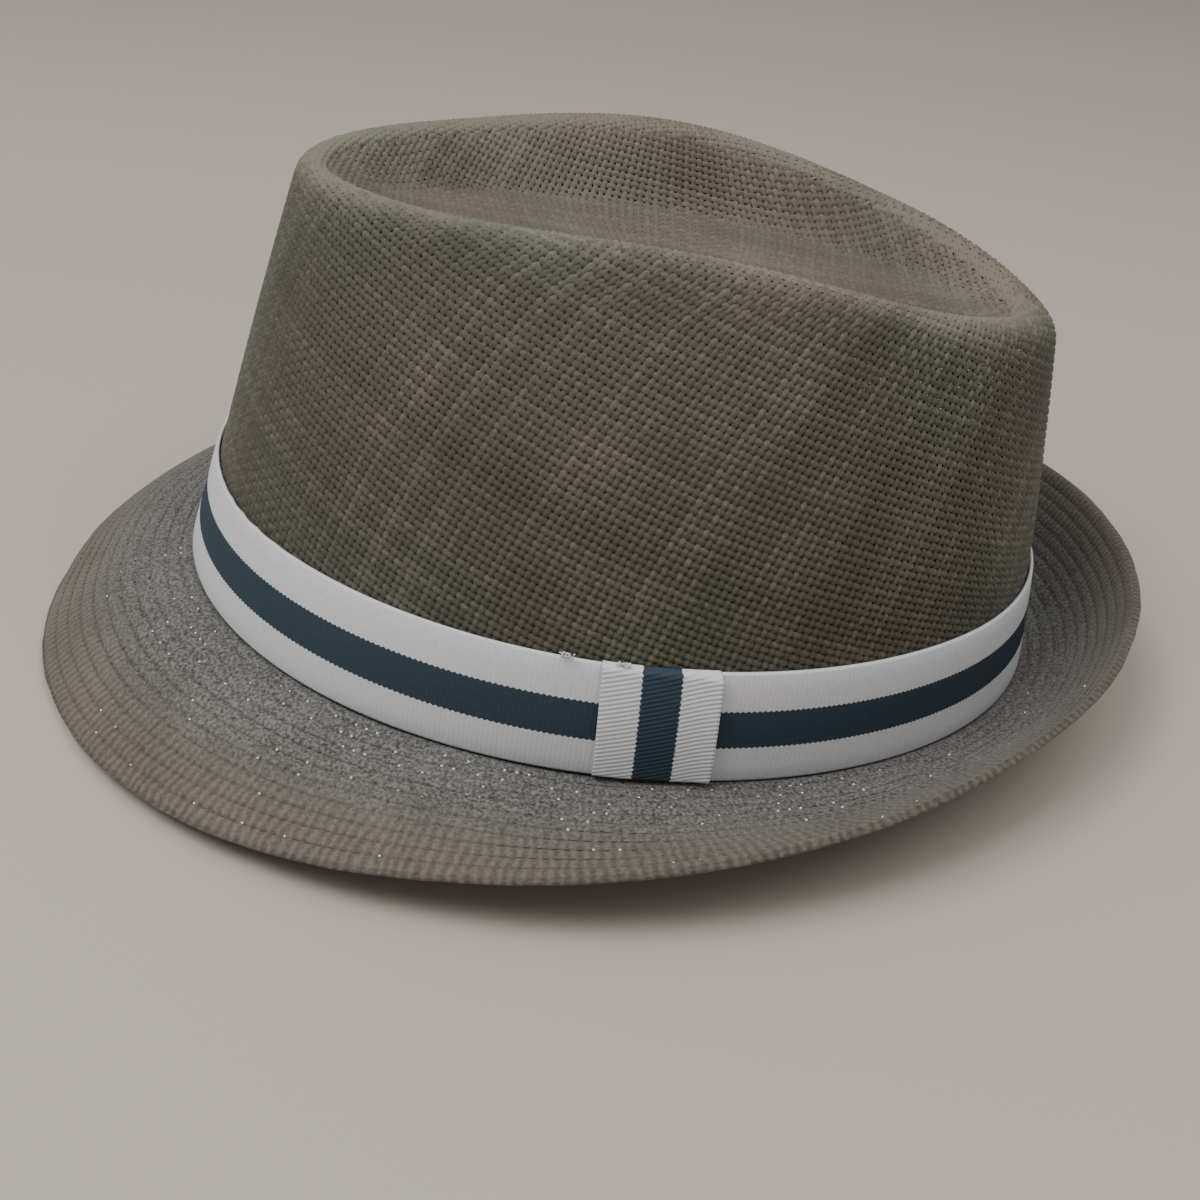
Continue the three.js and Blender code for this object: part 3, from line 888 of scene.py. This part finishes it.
section_out = np.concatenate([outer, inner[:, ::-1]], 1)
forward = TAB_WIDTH * across[:, None] + TAB_LEAN * (section_up / TAB_HIGH - 0.5)
tab_angle = TAB_TURN + 2 * forward / HEAD_OVAL["length"]
tab_points = wall_point(tab_angle, section_up, section_out)
over_ribs = section_up + slant + RIB_SPACING / 4
over_stripes = TAB_WIDTH * (across[:, None] + 0.5) + 0 * section_up
tab_mm = np.stack([over_ribs, over_stripes, 0 * section_up], -1)
tab = closed_strip("ribbon_tab_over_the_joint", tab_points, tab_mm, tab_cloth)
keep(tab, "striped_ribbon", "ribbon_tab")

# %% [markdown]
# ## Stitched brim
# The brim is the same straw cloth, doubled and closed up by rows of machine stitching a little over three
# millimetres apart. Between the rows the cloth puffs up, and the cloth's own ribs run across them. The puffs
# are real, on both faces, and the finer ribs and pebbles, about 2 and 0.8 mm across, are a bump and a change
# of shade. The finish is dull like the crown's, with painted shade darkening the grooves, greyer and grittier
# beside the ribbon and browner at the edge.

# %% Brim material
RIB_ACROSS_BRIM = 2.0
RIB_WOBBLE = 3.0
RIB_AT_EDGE = 1.15
# How often each pattern comes back in a metre: wobbles of 8 mm, blotches of 17, pebbles of 0.8, grit of 0.7.
BRIM_WOBBLES = 120
BRIM_BLOTCHES = 60
BRIM_PEBBLES = 1250
BRIM_GRIT = 1500
BRIM_START = 0.36
BRIM_SHARES = {"blotch": 0.25, "grit": 1.3, "rib": 0.08, "painted_groove_shade": 1.0, "pebble": -0.25}
# A groove takes this share of a row's width on each side of the stitches, and painted shade
# darkens it by this much.
GROOVE_WIDTH = 0.16
GROOVE_PAINTED_SHADE = -0.13
# The rows, counted from the brim's edge, between which it gets grittier and greyer.
GRIT_ROWS = (2.5, 6.5)
GREY_ROWS = (2.0, 8.0)
BRIM_ROUGHNESS = 0.72
BRIM_BUMP_HEIGHT = 0.00025
BRIM_BUMP_STRENGTH = 0.7
RIB_SHARE_OF_BUMP = 0.25


def brim_material():
    """Straw that reads how far along the brim it is, in millimetres, and which row of stitches it is past."""
    material, tree, shader = new_material("stitched_paper_straw", BRIM_ROUGHNESS)
    own = add_node(tree, "ShaderNodeAttribute", {"attribute_name": "brim_mm"}).outputs["Vector"]
    parts = add_node(tree, "ShaderNodeSeparateXYZ", None, {0: own}).outputs
    place = add_node(tree, "ShaderNodeTexCoord").outputs["Object"]
    blotch = add_node(tree, "ShaderNodeTexNoise", None,
                      {"Vector": place, "Scale": BRIM_BLOTCHES, "Detail": 3})
    pebble = add_node(tree, "ShaderNodeTexVoronoi", None,
                      {"Vector": place, "Scale": BRIM_PEBBLES, "Randomness": 0.9})
    wobble = add_node(tree, "ShaderNodeTexNoise", None, {"Vector": place, "Scale": BRIM_WOBBLES, "Detail": 1})
    along = add_node(tree, "ShaderNodeMath", {"operation": "MULTIPLY_ADD"},
                     {0: wobble.outputs["Fac"], 1: RIB_WOBBLE, 2: parts["X"]})
    along = add_node(tree, "ShaderNodeMath", {"operation": "MULTIPLY"},
                     {0: along.outputs[0], 1: 2 * math.pi / RIB_ACROSS_BRIM})
    rib = add_node(tree, "ShaderNodeMath", {"operation": "SINE"}, {0: along.outputs[0]})
    inner = add_node(tree, "ShaderNodeMapRange", None,
                     {"Value": parts["Z"], "From Min": GRIT_ROWS[0], "From Max": GRIT_ROWS[1]})
    outer = add_node(tree, "ShaderNodeMath", {"operation": "SUBTRACT"}, {0: RIB_AT_EDGE, 1: inner.outputs[0]})
    rib = add_node(tree, "ShaderNodeMath", {"operation": "MULTIPLY"},
                   {0: rib.outputs[0], 1: outer.outputs[0]})
    grit = add_node(tree, "ShaderNodeTexNoise", None, {"Vector": place, "Scale": BRIM_GRIT, "Detail": 1})
    grit = add_node(tree, "ShaderNodeMath", {"operation": "SUBTRACT"}, {0: grit.outputs["Fac"], 1: 0.5})
    grit = add_node(tree, "ShaderNodeMath", {"operation": "MULTIPLY"},
                    {0: grit.outputs[0], 1: inner.outputs[0]})
    # Painted shade: a narrow band along each row of stitches is darkened where the groove would lie in shade.
    row = add_node(tree, "ShaderNodeMath", {"operation": "PINGPONG"}, {0: parts["Z"], 1: 0.5})
    painted_groove_shade = add_node(tree, "ShaderNodeMapRange", None, {
        "Value": row.outputs[0], "From Min": 0.0, "From Max": GROOVE_WIDTH,
        "To Min": GROOVE_PAINTED_SHADE, "To Max": 0.0})
    shade = mixed_shade(tree, BRIM_START, BRIM_SHARES, {
        "blotch": blotch.outputs["Fac"],
        "grit": grit.outputs[0],
        "rib": rib.outputs[0],
        "painted_groove_shade": painted_groove_shade.outputs[0],
        "pebble": pebble.outputs["Distance"],
    })
    greyer = add_node(tree, "ShaderNodeMapRange", None,
                      {"Value": parts["Z"], "From Min": GREY_ROWS[0], "From Max": GREY_ROWS[1]})
    colour = straw_colour(tree, shade, (0.0, 0.3, 0.62), ("#38332d", "#655f57", "#88827a"),
                          greyer.outputs[0], ("#f2ece6", "#ecf6ff"))
    tree.links.new(colour, shader.inputs["Base Color"])
    shader.inputs["Sheen Weight"].default_value = STRAW_SHEEN
    height = add_node(tree, "ShaderNodeMath", {"operation": "MULTIPLY_ADD"},
                      {0: rib.outputs[0], 1: RIB_SHARE_OF_BUMP, 2: grit.outputs[0]})
    height = add_node(tree, "ShaderNodeMath", {"operation": "SUBTRACT"},
                      {0: height.outputs[0], 1: pebble.outputs["Distance"]})
    bump = add_node(tree, "ShaderNodeBump", None, {
        "Strength": BRIM_BUMP_STRENGTH, "Distance": BRIM_BUMP_HEIGHT, "Height": height.outputs[0]})
    tree.links.new(bump.outputs["Normal"], shader.inputs["Normal"])
    return material


brim_straw = brim_material()

# %% Faces of the brim
BRIM_COLUMNS = 720
STITCH_ROWS = 11
UPPER_STEPS_A_ROW = 7
LOWER_STEPS_A_ROW = 3
PUFF = 0.3
PUFF_FULLNESS = 0.55
PUFF_MIDDLE = 0.7
BRIM_GIRTH = 1.2
# Slow waves left by handling: height in mm, waves round the brim, slant across it, and where they start.
BRIM_WAVES = ((0.12, 5, 9, 0), (0.1, 13, 0, 2))

brim_angles = np.linspace(0, 2 * math.pi, BRIM_COLUMNS + 1)
brim_sheet = make_sheet(brim_lines, brim_angles, lines_run_outward=False, row_step=0.25)
reach = brim_sheet["ends"][:, None]


def quilting(part):
    """Height of the cloth between the rows of stitching, from 0 in a groove to 1 on a puff."""
    return np.abs(np.sin(np.pi * part * STITCH_ROWS)) ** PUFF_FULLNESS


def brim_face(steps_a_row, side):
    """One face of the brim, side 1 above and -1 below, with each point's place in the cloth."""
    part = np.linspace(0, 1, STITCH_ROWS * steps_a_row + 1)
    angle = brim_angles[:, None] + 0 * part
    point, outward = read_sheet(brim_sheet, angle, reach * part)
    swell = PUFF * (quilting(part) - PUFF_MIDDLE)
    ripple = 0
    for tall, waves, slant, start in BRIM_WAVES:
        ripple = ripple + tall * np.sin(waves * angle + slant * part + start)
    depth = (0 if side > 0 else -BRIM_CLOTH) + side * swell + ripple
    along = angle * HEAD_OVAL["length"] / 2 * BRIM_GIRTH
    cloth_mm = np.stack([along, reach * part, part * STITCH_ROWS + 0 * angle], -1)
    return point + outward * depth[..., None], cloth_mm


upper, upper_mm = brim_face(UPPER_STEPS_A_ROW, 1)
lower, lower_mm = brim_face(LOWER_STEPS_A_ROW, -1)

# %% Brim
EDGE_STEPS = 4
EDGE_WANDER = 0.15
# Small waves of the edge: share of the wander, waves round the brim, and where they start.
EDGE_WAVES = ((0.5, 23, 0), (0.3, 57, 1), (0.2, 101, 0))


def rings_of(face):
    return [face[:, ring] for ring in range(face.shape[1])]


edge_out = oval_outward(HEAD_OVAL, brim_angles)
wander = EDGE_WANDER * sum(share * np.sin(waves * brim_angles + start) for share, waves, start in EDGE_WAVES)
turns = np.linspace(0, math.pi, EDGE_STEPS + 2)[1:-1]
middle = (upper[:, 0] + lower[:, 0]) / 2
half = (upper[:, 0] - lower[:, 0]) / 2
bulges = [((BRIM_CLOTH / 2 + wander) * math.sin(turn))[:, None] for turn in turns]
edge = [middle + half * math.cos(turn) + edge_out * bulge for turn, bulge in zip(turns, bulges)]
under_wall = [face[:, -1] - edge_out * WALL_CLOTH for face in (upper, lower)]

rings = [under_wall[0]] + rings_of(upper)[::-1] + edge + rings_of(lower) + [under_wall[1]]
rings_mm = rings_of(upper_mm)[::-1] + [upper_mm[:, 0]] * len(turns) + rings_of(lower_mm)
rings_mm = [rings_mm[0]] + rings_mm + [rings_mm[-1]]
grid, grid_mm = np.stack(rings, 1)[:-1], np.stack(rings_mm, 1)[:-1]
number = np.arange(grid.shape[0] * grid.shape[1]).reshape(grid.shape[:2])
right, below = np.roll(number, -1, 0), np.roll(number, -1, 1)
corner = np.roll(right, -1, 1)
faces = np.stack([number, right, corner, below], -1).reshape(-1, 4).tolist()
brim = closed_skin("stitched_brim", grid, faces, 0, "brim_mm", grid_mm, brim_straw)
keep(brim, "stitched_straw", "brim")

# %% [markdown]
# The stitches lie in the grooves. Each row is a path, and a Geometry Nodes tree sets a short piece of
# thread at every stitch length along it. The thread is clear, so beside the ribbon, where the brim faces
# the light, one here and there catches it. That glint is painted: such a stitch is coloured near white and
# made a little bigger. The path carries the chance of that, and the tree draws lots.

# %% Stitch thread material
THREAD_ROUGHNESS = 0.4


def thread_material(name, dull, bright):
    material, tree, shader = new_material(name, THREAD_ROUGHNESS)
    # Painted glints: stitches that drew a glint get a near-white colour in place of the dull thread.
    glints = add_node(tree, "ShaderNodeAttribute", {"attribute_name": "glint"}).outputs["Fac"]
    colour = add_node(tree, "ShaderNodeMix", {"data_type": "RGBA"},
                      {"Factor": glints, 6: linear(dull), 7: linear(bright)})
    tree.links.new(colour.outputs[2], shader.inputs["Base Color"])
    return material


brim_thread = thread_material("clear_nylon_thread", "#6a635b", "#fbfaf7")

# %% The stitch tree
stitch_tree, sizes = new_tree("stitches_along_rows", {
    "Spacing": 0.0024,
    "Length": 0.0013,
    "Thickness": 0.00026,
    "Glint Length": 0.0006,
    "Glint Swelling": 0.00022,
    "Seed": 5,
})
curve = add_node(stitch_tree, "GeometryNodeMeshToCurve", None, {"Mesh": sizes["Geometry"]})
spots = add_node(stitch_tree, "GeometryNodeCurveToPoints", {"mode": "LENGTH"},
                 {"Curve": curve.outputs[0], "Length": sizes["Spacing"]})
spots = add_node(
    stitch_tree, "GeometryNodeStoreNamedAttribute", {"data_type": "QUATERNION", "domain": "POINT"},
    {"Geometry": spots.outputs["Points"], "Name": "along_row", "Value": spots.outputs["Rotation"]})
chance = add_node(stitch_tree, "GeometryNodeInputNamedAttribute", {"data_type": "FLOAT"},
                  {"Name": "glint_chance"}).outputs[0]
lot = add_node(stitch_tree, "FunctionNodeRandomValue", {"data_type": "FLOAT"},
               {"Seed": sizes["Seed"]}).outputs[1]
glint = add_node(stitch_tree, "FunctionNodeCompare", {"operation": "LESS_THAN"}, {0: lot, 1: chance})
spots = add_node(stitch_tree, "GeometryNodeStoreNamedAttribute", {"data_type": "FLOAT", "domain": "POINT"},
                 {"Geometry": spots.outputs[0], "Name": "glint", "Value": glint.outputs[0]})
is_glint = add_node(stitch_tree, "GeometryNodeInputNamedAttribute", {"data_type": "FLOAT"},
                    {"Name": "glint"}).outputs[0]
length = add_node(stitch_tree, "ShaderNodeMix", {"data_type": "FLOAT"},
                  {"Factor": is_glint, 2: sizes["Length"], 3: sizes["Glint Length"]})
thickness = add_node(stitch_tree, "ShaderNodeMath", {"operation": "MULTIPLY_ADD"},
                     {0: is_glint, 1: sizes["Glint Swelling"], 2: sizes["Thickness"]})
bead_size = add_node(stitch_tree, "ShaderNodeCombineXYZ", None,
                     {"X": thickness.outputs[0], "Y": thickness.outputs[0], "Z": length.outputs[0]})
turn = add_node(stitch_tree, "GeometryNodeInputNamedAttribute", {"data_type": "QUATERNION"},
                {"Name": "along_row"}).outputs[0]
bead = add_node(stitch_tree, "GeometryNodeMeshIcoSphere", None, {"Radius": 0.5, "Subdivisions": 1})
stitches = add_node(stitch_tree, "GeometryNodeInstanceOnPoints", None, {
    "Points": spots.outputs[0],
    "Instance": bead.outputs[0],
    "Rotation": turn,
    "Scale": bead_size.outputs[0],
})
finish_tree(stitch_tree, stitches.outputs[0], sizes["Material"])

# %% Rows of stitches
STITCH_SINK = 0.05
# The painted glints gather where the brim faces the lamps, beside the ribbon.
GLINTS_AT = math.radians(105)
GLINTS_SPREAD = math.radians(50)
GLINT_ROWS = (4, 8, STITCH_ROWS)
GLINT_CHANCES = (0.03, 0.28, 0.6)

def joined(lines):
    """The pairs of neighbours along lines of points that are listed one line after another."""
    number = np.arange(sum(map(len, lines))).reshape(len(lines), -1)
    return np.stack([number[:, :-1], number[:, 1:]], -1).reshape(-1, 2)


row_points, row_outward, row_chance = [], [], []
for row in range(1, STITCH_ROWS):
    point, outward = read_sheet(brim_sheet, brim_angles, reach[:, 0] * (row / STITCH_ROWS))
    row_points.append(point + outward * (STITCH_SINK - PUFF_MIDDLE * PUFF))
    row_outward.append(outward)
    facing = np.exp(-((brim_angles - GLINTS_AT) / GLINTS_SPREAD) ** 2)
    row_chance.append(facing * np.interp(row, GLINT_ROWS, GLINT_CHANCES))
rows = path_object("brim_stitches", np.concatenate(row_points), np.concatenate(row_outward),
                   joined(row_points), {"glint_chance": np.concatenate(row_chance)})
run_tree(rows, stitch_tree, {"Material": brim_thread})
keep(rows, "stitched_straw")

# %% [markdown]
# Where the ribbon was cut and turned under, a few of its threads have worked loose above the edge. Each is
# a short path that curls away from the ribbon, and the strand tree gives it a body.

# %% Loose threads
LOOSE_AT = [99.0, 98.4, 93.2, 92.6]
LOOSE_AT_EACH = 9
LOOSE_LENGTH = 1.4
LOOSE_SIZE = {"Width": 0.00022, "Thickness": 0.00018}
LOOSE_POINTS = 6
LOOSE_START_OUT = 1.5
LOOSE_CURL_UP = 2.2
LOOSE_CURL_OUT = 3
LOOSE_CURL_WIDTH = 0.5

luck = np.random.default_rng(4)
thread_points, thread_outward = [], []
for degrees in np.repeat(LOOSE_AT, LOOSE_AT_EACH):
    start = math.radians(degrees) + luck.uniform(-0.008, 0.008)
    lean, rise, away = luck.uniform(-0.012, 0.012), luck.uniform(0.3, 1.0), luck.uniform(-0.3, 0.7)
    along = np.linspace(0, 1, LOOSE_POINTS)
    height = RIBBON_START + RIBBON_WIDTH + LOOSE_LENGTH * rise * np.sin(along * LOOSE_CURL_UP)
    out = LOOSE_START_OUT + away * along ** 2 + LOOSE_CURL_WIDTH * np.sin(along * LOOSE_CURL_OUT)
    thread_points.append(wall_point(start + lean * along, height, out))
    thread_outward.append(np.tile(oval_outward(HEAD_OVAL, np.array([start])), (LOOSE_POINTS, 1)))
loose = path_object("loose_ribbon_threads", np.concatenate(thread_points), np.concatenate(thread_outward),
                    joined(thread_points), {})
run_tree(loose, strand_tree, {"Material": band_cloth, "Seed": 8} | LOOSE_SIZE)
keep(loose, "striped_ribbon")
